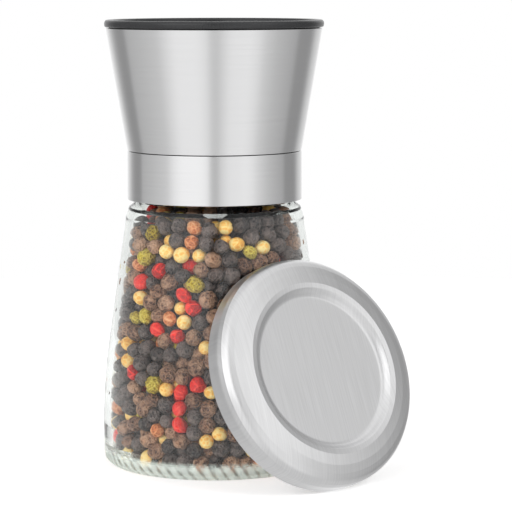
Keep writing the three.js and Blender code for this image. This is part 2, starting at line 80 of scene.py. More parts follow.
# Glass jar
JAR_ROUND = 576
FOOT_INSIDE_MM = 20  # what lies nearer to the axis is the middle of the base
FOOT_STEP_MM = 0.45
HEEL_MM = 1.6  # width of the flat ring that the jar stands on
RIB_COUNT = 64
RIB_HEIGHT_MM = 0.2
RIB_ZONE_MM = (0.1, 3.2)
RIB_FADE_MM = (0.8, 1.2)
RIB_INSIDE_MM = 25
RIB_POWER = 0.8
RIB_TWIST = 0.22
PUNT_RADIUS_MM = 24.5
PUNT_EDGE = (0.82, 1.06)  # where the hollow in the base starts and ends to fall, as shares of its radius
PUNT_DEPTH_MM = 1.1
PUNT_POINTS = 14
LIP_MM = 1.0
NECK_MM = 11  # length of neck below the lip
NECK_START_MM = 0.2  # the fine steps start this far above the neck's foot
NECK_STEP_MM = 0.22
NECK_SLACK_MM = 0.02
OLD_THREAD_MM = 9.4  # how far below the lip the CAD thread ends
OLD_THREAD_RELIEF_MM = 0.04  # what stands out more than this is thread
THREAD_LEAD_MM = 4.4
THREAD_START_MM = 78.3
THREAD_TURNS = 1.25
THREAD_END_TURNS = 0.06  # length of the thread's tapered ends
THREAD_RELIEF_MM = 1.6
THREAD_WIDTH_MM = 1.0
THREAD_POWER = 0.6
THREAD_SLACK_MM = 0.03
FROST_ZONE_MM = (3.6, 5.2)  # the foot is frosted below the first height and clear above the second
FROST = 0.45
MILK = (0.1, 0.5)  # share of white scatter in the frosted foot, between its ribs and on them
GLASS_IOR = 1.38  # below that of real glass, for less glare in front of the pepper

# Peppercorns
GRAIN_SEED = 11
GRAIN_RADIUS_MM = (1.95, 2.4)
GRAIN_SHARE = 0.63  # share of the space that grains fill
GRAIN_REACH_MM = 0.24  # how far the grains reach past the CAD fill, towards the glass
FILL_WALL_MM = 15  # the fill's outline beyond this radius is its wall
FILL_STEPS = 80
PACKING_STEPS = 220
RESTING_STEPS = 50  # the last steps, in which the grains no longer sink
SEARCH_STEPS = 8  # steps from one search for neighbours to the next
NEAR_MM = 1.2
PUSH_SHARE = 0.45  # share of an overlap by which each of two grains gives way in a step
SINK_MM = 0.05
BROKEN_TRIES = 9000  # broken grains settle between the whole ones on the jar's floor
BROKEN_RADIUS_MM = (0.8, 1.5)
BROKEN_COUNT = 240
BROKEN_GAP = 0.8  # distance to a neighbour, as a share of the two radii together
BROKEN_ABOVE_MM = 0.8
BROKEN_INWARD_MM = 3
RIDGE_WIDTH = 0.06
LUMP_WAVES = 5
LUMP_PITCH = 2.2
LUMP_PHASES = 6.28
TEMPLATES = 7
GRAINS_PER_PIECE = 150
VISIBLE_DEPTH_MM = 4.2
SECOND_DEPTH_MM = 9.5

# Lid
RIM_MM = 0.02  # points this near to the lid's open edge are on it


# ---------------------------------------------------------------- outlines from the CAD nodes


def section(node, azimuth_deg=-90.0, place=Matrix.Identity(4)):
    """Cuts a CAD node with a half-plane through its axis.
    The outline comes back as (radius, height) points in order."""
    mesh = frame["nodes"][node].data
    mesh.calc_loop_triangles()
    corners = np.empty(len(mesh.vertices) * 3)
    mesh.vertices.foreach_get("co", corners)
    inverse = np.array(place.inverted())
    points = corners.reshape(-1, 3) @ inverse[:3, :3].T + inverse[:3, 3]
    triangles = np.empty(len(mesh.loop_triangles) * 3, np.int32)
    mesh.loop_triangles.foreach_get("vertices", triangles)
    angle = math.radians(azimuth_deg + SECTION_OFFSET_DEG)
    outward = np.array((math.cos(angle), math.sin(angle), 0.0))
    across = np.array((-math.sin(angle), math.cos(angle), 0.0))
    links = {}
    for a, b, c in triangles.reshape(-1, 3):
        crossing = []
        for p, q in ((a, b), (b, c), (c, a)):
            side_p, side_q = points[p] @ across, points[q] @ across
            if (side_p > 0) != (side_q > 0):
                t = side_p / (side_p - side_q)
                crossing.append(points[p] + t * (points[q] - points[p]))
        if len(crossing) == 2:
            ends = [(round(float(x @ outward), 6), round(float(x[2]), 6)) for x in crossing]
            if min(ends[0][0], ends[1][0]) > -TINY and ends[0] != ends[1]:
                links.setdefault(ends[0], set()).add(ends[1])
                links.setdefault(ends[1], set()).add(ends[0])
    loose = sorted(p for p in links if len(links[p]) == 1)
    start = loose[0] if loose else min(links)
    outline, seen = [start], {start}
    while True:
        onward = sorted(p for p in links[outline[-1]] if p not in seen)
        if not onward:
            break
        outline.append(onward[0])
        seen.add(onward[0])
    return without_straight_points(np.array(outline), not loose)


def turn_between(before, after):
    """Size of the turn from one direction to the next, in radians."""
    return abs(math.atan2(before[0] * after[1] - before[1] * after[0], before @ after))


def without_straight_points(points, closed):
    """Drops the points that lie on a straight stretch."""
    kept = []
    count = len(points)
    for i in range(count):
        if not closed and i in (0, count - 1):
            kept.append(points[i])
            continue
        before, after = points[i] - points[i - 1], points[(i + 1) % count] - points[i]
        if np.linalg.norm(before) < TINY:
            continue
        if turn_between(before, after) > math.radians(BEND_DEG):
            kept.append(points[i])
    return np.array(kept)


def smoothed(points, closed, fillet=FILLET_MM * MM):
    """Turns soft bends into curves through the same points and rounds the corners."""
    count = len(points)
    spans = count if closed else count - 1
    chords = [points[(i + 1) % count] - points[i] for i in range(spans)]
    lengths = [np.linalg.norm(c) for c in chords]
    directions = [c / n for c, n in zip(chords, lengths)]
    arrive, leave, corner = list(directions), list(directions), [False] * count
    for i in range(count):
        if not closed and i in (0, count - 1):
            continue
        before, after = directions[i - 1], directions[i % spans]
        if turn_between(before, after) > math.radians(CORNER_DEG):
            corner[i] = True
            continue
        mean = joint_direction(before, lengths[i - 1], after, lengths[i % spans])
        arrive[i - 1] = mean
        leave[i % spans] = mean
    made = []
    for i in range(spans):
        p, q = points[i], points[(i + 1) % count]
        curved = min(leave[i] @ directions[i], arrive[i] @ directions[i]) < STRAIGHT_COSINE
        inner = CURVE_STEPS if curved else 1
        run = []
        for k in range(inner + 1):
            t = k / inner
            blend_in, blend_out = 2 * t**3 - 3 * t**2 + 1, -2 * t**3 + 3 * t**2
            pull_in, pull_out = t**3 - 2 * t**2 + t, t**3 - t**2
            tangents = pull_in * leave[i] + pull_out * arrive[i]
            run.append(blend_in * p + blend_out * q + tangents * lengths[i])
        made.append(run)
    outline = []
    for i, run in enumerate(made):
        if corner[i]:
            outline += fillet_arc(made[i - 1][-2], points[i], run[1], fillet)
        else:
            outline.append(run[0])
        outline += run[1:-1]
    if not closed:
        outline.append(made[-1][-1])
    return np.array(outline)


def joint_direction(before, length_before, after, length_after):
    """The direction of a smooth line where two chords meet. A much longer chord is a straight stretch."""
    if length_before > STRAIGHT_RATIO * length_after:
        return before
    if length_after > STRAIGHT_RATIO * length_before:
        return after
    mean = before * length_after + after * length_before
    return mean / np.linalg.norm(mean)


def fillet_arc(before, corner, after, size):
    """Points on the curve that rounds a corner."""
    back, onward = before - corner, after - corner
    size_back = min(size, FILLET_SHARE * np.linalg.norm(back))
    size_onward = min(size, FILLET_SHARE * np.linalg.norm(onward))
    start = corner + back / np.linalg.norm(back) * size_back
    end = corner + onward / np.linalg.norm(onward) * size_onward
    arc = []
    for k in range(FILLET_STEPS + 1):
        t = k / FILLET_STEPS
        arc.append((1 - t) ** 2 * start + 2 * t * (1 - t) * corner + t * t * end)
    return arc


# ---------------------------------------------------------------- meshes


def new_object(name, vertices, faces, smooth=True):
    mesh = bpy.data.meshes.new(name)
    mesh.from_pydata([tuple(v) for v in vertices], [], [tuple(f) for f in faces])
    mesh.polygons.foreach_set("use_smooth", [smooth] * len(mesh.polygons))
    mesh.update()
    made = bpy.data.objects.new(name, mesh)
    bpy.context.scene.collection.objects.link(made)
    return made


def turned(name, outline, closed, segments, relief=None):
    """Revolves an outline about Z. relief(radius, height, angle) gives a radial offset for each point."""
    area = sum(p[0] * q[1] - q[0] * p[1] for p, q in zip(outline, np.roll(outline, -1, axis=0)))
    if area < 0:
        outline = outline[::-1]
    angles = np.linspace(0, 2 * math.pi, segments, endpoint=False)
    rows, columns = len(outline), segments
    radius = np.repeat(outline[:, :1], columns, axis=1)
    height = np.repeat(outline[:, 1:], columns, axis=1)
    angle = np.repeat(angles[None, :], rows, axis=0)
    if relief:
        radius = radius + relief(radius, height, angle)
    vertices = np.stack((radius * np.cos(angle), radius * np.sin(angle), height), axis=2)
    on_axis = outline[:, 0] < TINY
    index = np.arange(rows * columns).reshape(rows, columns)
    for i in np.where(on_axis)[0]:
        index[i, :] = index[i, 0]
    faces = []
    spans = rows if closed else rows - 1
    for i in range(spans):
        j = (i + 1) % rows
        if on_axis[i] and on_axis[j]:
            continue
        for k in range(columns):
            m = (k + 1) % columns
            corners = [index[i, k], index[i, m], index[j, m], index[j, k]]
            faces.append(list(dict.fromkeys(int(c) for c in corners)))
    used = np.unique(np.concatenate([np.array(f) for f in faces]))
    renumber = {int(old): new for new, old in enumerate(used)}
    faces = [[renumber[c] for c in f] for f in faces]
    made = new_object(name, vertices.reshape(-1, 3)[used], faces)
    weigh_normals(made)
    return made


def turned_copy(name, node, segments, fillet_mm=FILLET_MM, azimuth_deg=-90.0, place=Matrix.Identity(4)):
    """A finer copy of a turned CAD node, from its outline in the frame that place gives."""
    points = section(node, azimuth_deg, place)
    closed = min(points[0][0], points[-1][0]) > TINY
    return turned(name, smoothed(points, closed, fillet_mm * MM), closed, segments)


def weigh_normals(piece):
    modifier = piece.modifiers.new("even_shading", "WEIGHTED_NORMAL")
    modifier.keep_sharp = False
    modifier.weight = NORMAL_WEIGHT


def finish_piece(piece, body, slot, material, *replaced):
    piece.data.materials.append(material)
    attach(piece, body)
    if replaced:
        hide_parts(*replaced)
    return piece


# ---------------------------------------------------------------- materials


def fill_ramp(ramp, stops):
    """Replaces a colour ramp's stops with (position, colour) pairs, in rising order."""
    first, *others = stops
    ramp.elements.remove(ramp.elements[1])
    ramp.elements[0].position = first[0]
    ramp.elements[0].color = (*first[1], 1)
    for position, colour in others:
        ramp.elements.new(position).color = (*colour, 1)


def grey(level):
    return (level, level, level, 1)


class Nodes:
    """A node tree with short calls that add nodes. An input is a value or another node's output."""

    def __init__(self, tree):
        self.tree = tree

    def add(self, kind, inputs=(), **settings):
        node = self.tree.nodes.new("ShaderNode" + kind)
        for key, value in settings.items():
            setattr(node, key, value)
        for key, value in dict(inputs).items():
            self.put(node.inputs[key], value)
        return node

    def put(self, socket, value):
        if isinstance(value, bpy.types.NodeSocket):
            self.tree.links.new(value, socket)
        else:
            socket.default_value = value

    def math(self, operation, *values):
        return self.add("Math", dict(enumerate(values)), operation=operation).outputs[0]

    def scaled(self, value, low, high, first=0.0, last=1.0):
        """Maps low to high onto first to last, and stops there."""
        inputs = {"Value": value, "From Min": low, "From Max": high, "To Min": first, "To Max": last}
        return self.add("MapRange", inputs).outputs["Result"]

    def blend(self, share, first, second):
        return self.add("MixRGB", {"Fac": share, "Color1": first, "Color2": second}).outputs["Color"]

    def ramp(self, value, *stops):
        node = self.add("ValToRGB", {"Fac": value})
        fill_ramp(node.color_ramp, stops)
        return node.outputs["Color"]


class Shader(Nodes):
    """A new material's node tree, with its Principled shader as the surface."""

    def __init__(self, name):
        self.material = bpy.data.materials.new(name)
        self.material.use_nodes = True
        super().__init__(self.material.node_tree)
        self.surface = self.tree.nodes["Principled BSDF"]

    def set(self, **values):
        for key, value in values.items():
            self.put(self.surface.inputs[key.replace("_", " ")], value)

    def place(self):
        return self.add("TexCoord").outputs["Object"]

    def noise(self, scale, detail):
        inputs = {"Vector": self.place(), "Scale": scale, "Detail": detail, "Roughness": 0.55}
        return self.add("TexNoise", inputs).outputs["Fac"]

    def streaks(self, place, stretch, detail):
        """Noise that is drawn out along the directions where stretch is small."""
        mapped = self.add("Mapping", {"Vector": place, "Scale": stretch}).outputs["Vector"]
        return self.add("TexNoise", {"Vector": mapped, "Scale": 1.0, "Detail": detail}).outputs["Fac"]

    def warped_place(self, scale, size):
        """The place, pushed sideways a little by an amount that varies."""
        wobble = self.add("TexNoise", {"Vector": self.place(), "Scale": scale}).outputs["Color"]
        push = self.add("VectorMath", {0: wobble, "Scale": size}, operation="SCALE").outputs[0]
        return self.add("VectorMath", {0: self.place(), 1: push}, operation="ADD").outputs[0]

    def span(self, value, low, high):
        """Maps 0 to 1 onto low to high."""
        return self.scaled(value, 0.0, 1.0, low, high)

    def bump(self, height, strength, depth_mm, normal=None):
        inputs = {"Height": height, "Strength": strength, "Distance": depth_mm * MM}
        if normal is not None:
            inputs["Normal"] = normal
        return self.add("Bump", inputs).outputs["Normal"]


def brushed_steel(name, grain, roughness, anisotropy, dull, flat_map=None):
    """Steel with fine brushing round its axis, or straight brushing along the V of a flat map.
    grain stretches the noise so that its streaks run along the brushing. dull is the tone of its dark
    streaks, next to that of the steel."""
    s = Shader(name)
    if flat_map:
        place = s.add("UVMap", uv_map=flat_map).outputs["UV"]
        tangent = s.add("Tangent", direction_type="UV_MAP", uv_map=flat_map)
        turn = 0.0
    else:
        place = s.place()
        tangent = s.add("Tangent", direction_type="RADIAL", axis="Z")
        turn = 0.25
    fine = s.streaks(place, grain, 4.0)
    broad = s.streaks(place, tuple(0.2 * g for g in grain), 3.0)
    dark = tuple(dull * c for c in STEEL_TONE)
    s.set(Base_Color=s.ramp(fine, (0.3, dark), (0.7, STEEL_TONE)), Metallic=1.0)
    s.set(Roughness=s.span(broad, roughness - 0.04, roughness + 0.04))
    s.set(Normal=s.bump(fine, strength=0.06, depth_mm=0.012))
    s.set(Anisotropic=anisotropy, Anisotropic_Rotation=turn, Tangent=tangent.outputs["Tangent"])
    return s.material


def plain_metal(name, tone, roughness):
    """Metal with faint marks from turning."""
    s = Shader(name)
    marks = s.noise(scale=900.0, detail=3.0)
    dark = tuple(0.88 * c for c in tone)
    s.set(Base_Color=s.ramp(marks, (0.3, dark), (0.7, tone)), Metallic=1.0)
    s.set(Roughness=s.span(marks, roughness - 0.06, roughness + 0.06))
    s.set(Normal=s.bump(marks, strength=0.1, depth_mm=0.02))
    return s.material


def black_plastic():
    s = Shader("moulded_black_plastic")
    texture = s.noise(scale=2600.0, detail=2.0)
    cloud = s.noise(scale=60.0, detail=2.0)
    s.set(Base_Color=s.ramp(cloud, (0.2, (0.012, 0.0125, 0.0135)), (0.8, (0.022, 0.0225, 0.024))))
    s.set(Roughness=s.span(texture, 0.22, 0.34), Normal=s.bump(texture, strength=0.05, depth_mm=0.02))
    return s.material


def white_ceramic():
    s = Shader("fired_ceramic")
    speckle = s.noise(scale=1500.0, detail=3.0)
    s.set(Base_Color=s.ramp(speckle, (0.3, (0.78, 0.75, 0.69)), (0.7, (0.87, 0.85, 0.8))))
    s.set(Roughness=s.span(speckle, 0.42, 0.58), Normal=s.bump(speckle, strength=0.15, depth_mm=0.03))
    return s.material


def silicone():
    s = Shader("silicone")
    cloud = s.noise(scale=200.0, detail=2.0)
    s.set(Base_Color=s.ramp(cloud, (0.3, (0.7, 0.71, 0.7)), (0.7, (0.78, 0.79, 0.77))))
    s.set(Roughness=s.span(cloud, 0.45, 0.6))
    return s.material


def rib_phase(angle, height_mm):
    """Where a place lies in the slanting wave of the foot's ribs, in radians."""
    return RIB_COUNT * (angle + RIB_TWIST * height_mm / 10)


def clear_glass():
    """Clear glass with a faint green body and a frosted foot, which is whiter on its ribs than between.
    The lamps' light passes straight through to what is inside."""
    s = Shader("soda_glass")
    s.set(Base_Color=(0.985, 0.995, 0.988, 1), Transmission_Weight=1.0, IOR=GLASS_IOR)
    place = s.add("SeparateXYZ", {"Vector": s.place()}).outputs
    low, high = (z * MM for z in FROST_ZONE_MM)
    s.set(Roughness=s.scaled(place["Z"], low, high, FROST, 0.0))
    s.set(Normal=s.bump(s.noise(scale=38.0, detail=1.0), strength=0.02, depth_mm=0.3))

    angle = s.math("ARCTAN2", place["Y"], place["X"])
    slant = s.math("MULTIPLY", place["Z"], rib_phase(0.0, 1 / MM))
    wave = s.math("COSINE", s.math("MULTIPLY_ADD", angle, RIB_COUNT, slant))
    crest = s.scaled(wave, -1.0, 0.0, *MILK)
    foot = s.scaled(place["Z"], low, high, 1.0, 0.0)
    white = s.add("BsdfDiffuse", {"Color": (0.8, 0.88, 0.82, 1)})
    shares = {0: s.math("MULTIPLY", crest, foot), 1: s.surface.outputs[0], 2: white.outputs[0]}
    glass = s.add("MixShader", shares)

    path = s.add("LightPath").outputs
    unseen = s.math("MAXIMUM", path["Is Shadow Ray"], path["Is Diffuse Ray"])
    clear = s.add("BsdfTransparent", {"Color": (0.95, 0.955, 0.95, 1)})
    mixed = s.add("MixShader", {0: unseen, 1: glass.outputs[0], 2: clear.outputs[0]})
    tint = s.add("VolumeAbsorption", {"Color": (0.5, 0.85, 0.6, 1), "Density": 9.0})
    output = s.tree.nodes["Material Output"]
    s.put(output.inputs["Surface"], mixed.outputs[0])
    s.put(output.inputs["Volume"], tint.outputs["Volume"])
    return s.material


def peppercorn(name, dark, mid, light, roughness, wrinkle):
    """Colour from three things that each run from 0 to 1: the grain's own tone, a painted highlight on its raised
    lines and a speckle.
    The painted highlight counts double. wrinkle is the strength of a net of fine raised lines, in the bump and in
    the painted highlight."""
    s = Shader(name)
    tone = s.add("Attribute", attribute_name="tone").outputs["Fac"]
    relief = s.add("Attribute", attribute_name="relief").outputs["Fac"]
    speckle = s.noise(scale=1300.0, detail=4.0)
    cells = {"Vector": s.warped_place(scale=700.0, size=0.0006), "Scale": 1050.0}
    edges = s.add("TexVoronoi", cells, feature="DISTANCE_TO_EDGE").outputs["Distance"]
    net = s.math("MULTIPLY", s.scaled(edges, 0.0, 0.22, 1.0, 0.0), wrinkle)
    # Painted highlight: the grain's raised points and the fine net of lines are coloured lighter, as if light
    # caught them.
    painted_ridge_highlight = s.math("MAXIMUM", relief, net)
    total = s.math("MULTIPLY_ADD", painted_ridge_highlight, 2.0, s.math("ADD", tone, speckle))
    share = s.math("DIVIDE", total, 4.0)
    s.set(Base_Color=s.ramp(share, (0.16, dark), (0.42, mid), (0.8, light)))
    s.set(Roughness=s.span(speckle, roughness - 0.08, roughness + 0.1), Specular_IOR_Level=0.4)
    grainy = s.bump(speckle, strength=0.3, depth_mm=0.08)
    s.set(Normal=s.bump(net, strength=0.9, depth_mm=0.25, normal=grainy))
    return s.material


STEEL_TONE = (0.8, 0.8, 0.805)
ROUND_GRAIN = (40, 40, 6500)
STRAIGHT_GRAIN = (2600, 60, 1)
LID_MAP = "brushing"

BLACK = black_plastic()
CERAMIC = white_ceramic()
HEAD_STEEL = brushed_steel("brushed_steel_round", ROUND_GRAIN, roughness=0.25, anisotropy=0.9, dull=0.96)
LID_STEEL = brushed_steel("brushed_steel_straight", STRAIGHT_GRAIN, 0.33, 0.5, 0.9, LID_MAP)
BRIGHT_STEEL = plain_metal("turned_steel", (0.62, 0.62, 0.63), roughness=0.24)
BRASS = plain_metal("turned_brass", (0.72, 0.53, 0.24), roughness=0.28)


# ---------------------------------------------------------------- glass jar


def smooth_step(low, high, value):
    t = np.clip((value - low) / (high - low), 0, 1)
    return t * t * (3 - 2 * t)


def jar_outline():
    """The CAD outline without its thread, with a fine neck for the new thread, and with a hollow base."""
    points = section("glass_jar", 90.0)
    if points[0][1] > points[-1][1]:
        points = points[::-1]
    lip = points[:, 1].max()
    near_lip = points[points[:, 1] > lip - LIP_MM * MM]
    neck_radius = near_lip[:, 0].max()
    on_neck = points[:, 1] > lip - OLD_THREAD_MM * MM
    on_thread = on_neck & (points[:, 0] > neck_radius + OLD_THREAD_RELIEF_MM * MM)
    outline = smoothed(points[~on_thread], False)
    radius, height = outline[:, 0], outline[:, 1]
    neck = (np.abs(radius - neck_radius) < NECK_SLACK_MM * MM) & (height > lip - NECK_MM * MM)
    first, last = np.where(neck)[0][[0, -1]]
    rise = np.arange(height[first] + NECK_START_MM * MM, height[last], NECK_STEP_MM * MM)
    straight = np.stack((np.full(len(rise), neck_radius), rise), axis=1)
    outline = np.concatenate((outline[: first + 1], straight, outline[last:]))
    heel = outline[(outline[:, 1] < MICRON) & (outline[:, 0] > FOOT_INSIDE_MM * MM)]
    foot_radius = heel[:, 0].max()
    after = outline[np.argmax(outline[:, 0] > foot_radius - MICRON) :]
    base_radii = np.linspace(0, 1, PUNT_POINTS) * (foot_radius - HEEL_MM * MM)
    inner, outer = (share * PUNT_RADIUS_MM * MM for share in PUNT_EDGE)
    lift = PUNT_DEPTH_MM * MM * (1 - smooth_step(inner, outer, base_radii))
    outline = np.concatenate((np.stack((base_radii, lift), axis=1), after))
    return denser(outline, RIB_ZONE_MM[1] * MM, FOOT_STEP_MM * MM), neck_radius


def denser(outline, below, step):
    """Adds points to the foot below a height, so that no step there is longer than the given one."""
    made = [outline[0]]
    for p, q in zip(outline, outline[1:]):
        low = max(p[1], q[1]) < below and min(p[0], q[0]) > FOOT_INSIDE_MM * MM
        parts = max(1, math.ceil(np.linalg.norm(q - p) / step)) if low else 1
        made += [p + (q - p) * k / parts for k in range(1, parts + 1)]
    return np.array(made)


def rib_height(angle, z):
    """How far the foot's ribs stand out. Heights are in mm here and in thread_height."""
    low, high = RIB_ZONE_MM
    rise, fall = RIB_FADE_MM
    zone = smooth_step(low, low + rise, z) * (1 - smooth_step(high - fall, high, z))
    wave = 0.5 + 0.5 * np.cos(rib_phase(angle, z))
    return RIB_HEIGHT_MM * zone * wave**RIB_POWER


def thread_height(angle, z):
    """How far the neck's thread stands out."""
    turns = (angle / (2 * math.pi)) % 1
    crest = np.zeros_like(z)
    for whole in range(math.ceil(THREAD_TURNS)):
        at = turns + whole
        centre = THREAD_START_MM + THREAD_LEAD_MM * at
        start = smooth_step(0.0, THREAD_END_TURNS, at)
        end = 1 - smooth_step(THREAD_TURNS - THREAD_END_TURNS, THREAD_TURNS, at)
        shape = np.clip(1 - ((z - centre) / THREAD_WIDTH_MM) ** 2, 0, None) ** THREAD_POWER
        crest = np.maximum(crest, shape * start * end)
    return THREAD_RELIEF_MM * crest


def build_jar():
    outline, neck_radius = jar_outline()
    inside_start = np.argmax(outline[:, 1]) + 1

    def relief(radius, height, angle):
        outer = np.arange(len(radius))[:, None] < inside_start
        on_foot = outer & (radius > RIB_INSIDE_MM * MM)
        on_neck = outer & (np.abs(radius - neck_radius) < THREAD_SLACK_MM * MM)
        z = height / MM
        return MM * (rib_height(angle, z) * on_foot + thread_height(angle, z) * on_neck)

    jar = turned("jar", outline, False, JAR_ROUND, relief)
    return finish_piece(jar, "jar", "jar_glass", clear_glass(), "glass_jar")


# ---------------------------------------------------------------- peppercorns


def sphere_points(subdivisions):
    """Vertices and triangles of a round ball of radius 1."""
    ball = bmesh.new()
    bmesh.ops.create_icosphere(ball, subdivisions=subdivisions, radius=1.0)
    ball.verts.ensure_lookup_table()
    vertices = np.array([v.co[:] for v in ball.verts])
    faces = np.array([[v.index for v in f.verts] for f in ball.faces])
    ball.free()
    return vertices / np.linalg.norm(vertices, axis=1)[:, None], faces


def wrinkled(directions, rng, cells, ridge, lump):
    """Radius over a grain with raised lines between dented cells, and how far each point stands out."""
    seeds = rng.normal(size=(cells, 3))
    seeds /= np.linalg.norm(seeds, axis=1)[:, None]
    nearness = np.sort(directions @ seeds.T, axis=1)
    border = nearness[:, -1] - nearness[:, -2]
    raised = np.exp(-((border / RIDGE_WIDTH) ** 2))
    waves = rng.normal(size=(LUMP_WAVES, 3)) * LUMP_PITCH
    swell = np.sin(directions @ waves.T + rng.uniform(0, LUMP_PHASES, LUMP_WAVES)).mean(axis=1)
    return 1 - ridge + ridge * raised + lump * swell, raised


# name: (share of the grains, cells, ridge, lump, size, flatness)
GRAIN_KINDS = {
    "black": (0.41, 46, 0.1, 0.07, 1.05, 0.07),
    "brown": (0.29, 40, 0.09, 0.08, 1.07, 0.09),
    "cream": (0.16, 40, 0.014, 0.025, 0.93, 0.06),
    "red": (0.048, 9, 0.05, 0.1, 0.96, 0.18),
    "tan": (0.04, 26, 0.045, 0.06, 0.95, 0.12),
    "green": (0.045, 16, 0.13, 0.12, 1.1, 0.2),
}


def container():
    """Radius of the filled space at each height, from the outline of the CAD fill."""
    points = section("peppercorns", 90.0)
    outer = points[points[:, 0] > FILL_WALL_MM * MM]
    order = np.argsort(outer[:, 1])
    heights, radii = outer[order, 1], outer[order, 0] + GRAIN_REACH_MM * MM
    return heights, radii, points[:, 1].min() - GRAIN_REACH_MM * MM, points[:, 1].max()


def packed_grains(rng):
    """Centres and radii of grains that settle in the filled space without much overlap."""
    heights, radii, floor, top = container()
    steps = np.linspace(floor, top, FILL_STEPS)
    space = np.trapz(math.pi * np.interp(steps, heights, radii) ** 2, steps)
    mean = sum(GRAIN_RADIUS_MM) / 2 * MM
    count = int(GRAIN_SHARE * space / (4 / 3 * math.pi * mean**3))
    sizes = rng.uniform(*GRAIN_RADIUS_MM, count) * MM
    z = rng.uniform(floor + mean, top - mean, count)
    reach = (np.interp(z, heights, radii) - mean) * np.sqrt(rng.uniform(0, 1, count))
    turn = rng.uniform(0, 2 * math.pi, count)
    centres = np.stack((reach * np.cos(turn), reach * np.sin(turn), z), axis=1)
    for step in range(PACKING_STEPS):
        if step % SEARCH_STEPS == 0:
            gaps = np.linalg.norm(centres[:, None] - centres[None], axis=2)
            near = gaps < sizes[:, None] + sizes[None] + NEAR_MM * MM
            pairs = np.argwhere(np.triu(near, 1))
        a, b = pairs.T
        apart = centres[b] - centres[a]
        distance = np.linalg.norm(apart, axis=1) + 1e-9
        overlap = np.clip(sizes[a] + sizes[b] - distance, 0, None)
        push = apart / distance[:, None] * (PUSH_SHARE * overlap)[:, None]
        np.add.at(centres, b, push)
        np.add.at(centres, a, -push)
        if step < PACKING_STEPS - RESTING_STEPS:
            centres[:, 2] -= SINK_MM * MM
        limit = np.interp(centres[:, 2], heights, radii) - sizes
        radial = np.linalg.norm(centres[:, :2], axis=1) + 1e-9
        centres[:, :2] *= np.minimum(1, limit / radial)[:, None]
        centres[:, 2] = np.clip(centres[:, 2], floor + sizes, top - sizes)
    centres, sizes = broken_grains(rng, centres, sizes)
    depth = np.interp(centres[:, 2], heights, radii) - np.linalg.norm(centres[:, :2], axis=1)
    depth = np.minimum(depth, centres[:, 2] - floor)
    depth = np.minimum(depth, top - centres[:, 2])
    return centres, sizes, depth


def broken_grains(rng, centres, sizes):
    """Small pieces in the gaps between the lowest grains, near the wall."""
    heights, radii, floor, _ = container()
    made, made_sizes = list(centres), list(sizes)
    for _ in range(BROKEN_TRIES):
        size = rng.uniform(*BROKEN_RADIUS_MM) * MM
        z = floor + size + abs(rng.normal()) * BROKEN_ABOVE_MM * MM
        reach = np.interp(z, heights, radii) - size - abs(rng.normal()) * BROKEN_INWARD_MM * MM
        turn = rng.uniform(0, 2 * math.pi)
        place = np.array((reach * math.cos(turn), reach * math.sin(turn), z))
        distance = np.linalg.norm(np.array(made) - place, axis=1)
        room = distance - BROKEN_GAP * (np.array(made_sizes) + size)
        if room.min() > 0:
            made.append(place)
            made_sizes.append(size)
        if len(made) == len(centres) + BROKEN_COUNT:
            break
    return np.array(made), np.array(made_sizes)


def random_turns(rng, count):
    """Random rotation matrices."""
    q = rng.normal(size=(count, 4))
    w, x, y, z = (q / np.linalg.norm(q, axis=1)[:, None]).T
    rows = [
        [1 - 2 * (y * y + z * z), 2 * (x * y - w * z), 2 * (x * z + w * y)],
        [2 * (x * y + w * z), 1 - 2 * (x * x + z * z), 2 * (y * z - w * x)],
        [2 * (x * z - w * y), 2 * (y * z + w * x), 1 - 2 * (x * x + y * y)],
    ]
    return np.moveaxis(np.array(rows), 2, 0)


def grain_mesh(name, kind, centres, sizes, detail, rng):
    """One mesh of many grains of a kind, each a turned and squeezed copy of one of a few templates."""
    _, cells, ridge, lump, scale, flatness = GRAIN_KINDS[kind]
    directions, faces = sphere_points(detail)
    templates = [wrinkled(directions, rng, cells, ridge, lump) for _ in range(TEMPLATES)]
    turns = random_turns(rng, len(centres))
    squeeze = 1 + rng.uniform(-flatness, flatness, size=(len(centres), 3))
    vertices, triangles, relief, tone = [], [], [], []
    for i, (centre, size) in enumerate(zip(centres, sizes)):
        radius, raised = templates[i % len(templates)]
        ball = directions * (radius * size * scale)[:, None] * squeeze[i]
        vertices.append(ball @ turns[i].T + centre)
        triangles.append(faces + i * len(directions))
        relief.append(raised)
        tone.append(np.full(len(directions), rng.uniform()))
    made = new_object(name, np.concatenate(vertices), np.concatenate(triangles))
    # The relief attribute drives a painted highlight in the peppercorn material: raised points are coloured
    # lighter.
    for label, values in (("relief", relief), ("tone", tone)):
        attribute = made.data.attributes.new(label, "FLOAT", "POINT")
        attribute.data.foreach_set("value", np.concatenate(values).astype(np.float32))
    return made


# name: (dark, middle and light colour, the light one mostly a painted highlight on the raised lines, roughness,
# strength of the fine wrinkles and of their painted highlight)
GRAIN_COLOURS = {
    "black": ((0.005, 0.004, 0.005), (0.022, 0.017, 0.017), (0.17, 0.13, 0.12), 0.4, 0.75),
    "brown": ((0.02, 0.008, 0.005), (0.11, 0.045, 0.028), (0.5, 0.29, 0.19), 0.48, 0.85),
    "cream": ((0.82, 0.35, 0.05), (1.0, 0.55, 0.12), (1.0, 0.78, 0.34), 0.42, 0.3),
    "red": ((0.36, 0.004, 0.004), (0.85, 0.015, 0.012), (0.95, 0.12, 0.08), 0.3, 0.3),
    "tan": ((0.3, 0.06, 0.012), (0.68, 0.21, 0.07), (0.92, 0.5, 0.26), 0.48, 0.5),
    "green": ((0.12, 0.07, 0.003), (0.44, 0.3, 0.02), (0.8, 0.66, 0.14), 0.55, 0.8),
}


